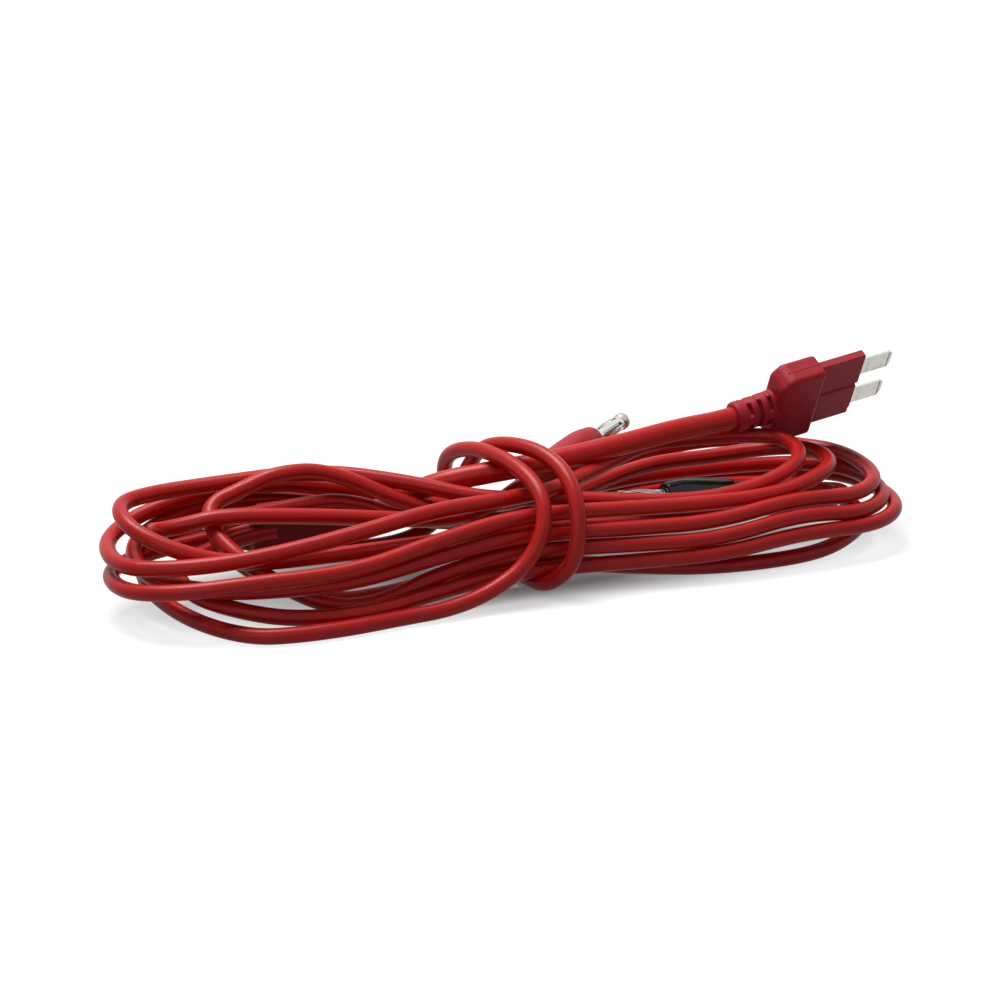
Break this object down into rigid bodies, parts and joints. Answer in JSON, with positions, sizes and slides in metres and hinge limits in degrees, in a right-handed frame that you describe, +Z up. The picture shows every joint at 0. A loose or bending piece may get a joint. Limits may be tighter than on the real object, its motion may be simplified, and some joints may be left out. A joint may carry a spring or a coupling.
{
  "type": "fused power test lead",
  "caption": "Blade-fuse plug on a short twin-core cord, split into long leads with spring-cage banana plugs, hanked and tied with their own tail.",
  "frame": {"origin": "middle of the whole part's footprint, on the surface the hank lies on", "axes": "+Z up; +X along the hank's length, towards the blade plug; +Y away from the side where the tie runs along the ground"},
  "size_m": [0.1908, 0.0578, 0.041],
  "materials": {
    "plug_moulding": "satin",
    "fuse_body": "satin",
    "cord_jacket": "satin",
    "lead_jacket": "satin",
    "red_insulator": "satin",
    "black_insulator": "gloss",
    "tin": "satin",
    "nickel": "polished",
    "spring_nickel": "satin",
    "copper": "satin"
  },
  "bodies": {
    "lead_set": {"black_conductor": "copper", "black_pin": "nickel", "black_sleeve": "black_insulator", "black_tail": "lead_jacket", "black_tip": "nickel", "blade_lower": "tin", "blade_upper": "tin", "cord": "cord_jacket", "core_lower": "copper", "core_upper": "copper", "crimp_lower": "tin", "crimp_upper": "tin", "fuse_body": "fuse_body", "hank": "lead_jacket", "overmould": "plug_moulding", "red_conductor": "copper", "red_pin": "nickel", "red_sleeve": "red_insulator", "red_tail": "lead_jacket", "red_tip": "nickel", "splice_black": "tin", "splice_red": "tin", "splitter": "cord_jacket", "tie": "lead_jacket"},
    "red_spring": {"red_cage": "spring_nickel"},
    "black_spring": {"black_cage": "spring_nickel"}
  },
  "joints": [
    {"name": "red_cage_spin", "type": "hinge", "parent": "lead_set", "child": "red_spring", "pos_m": [0.0243, 0.02, 0.0219], "axis": [0.8323, 0.5343, 0.1478], "continuous": true},
    {"name": "black_cage_spin", "type": "hinge", "parent": "lead_set", "child": "black_spring", "pos_m": [0.0352, 0.004, 0.0117], "axis": [-0.9848, -0.1384, 0.1045], "continuous": true}
  ]
}
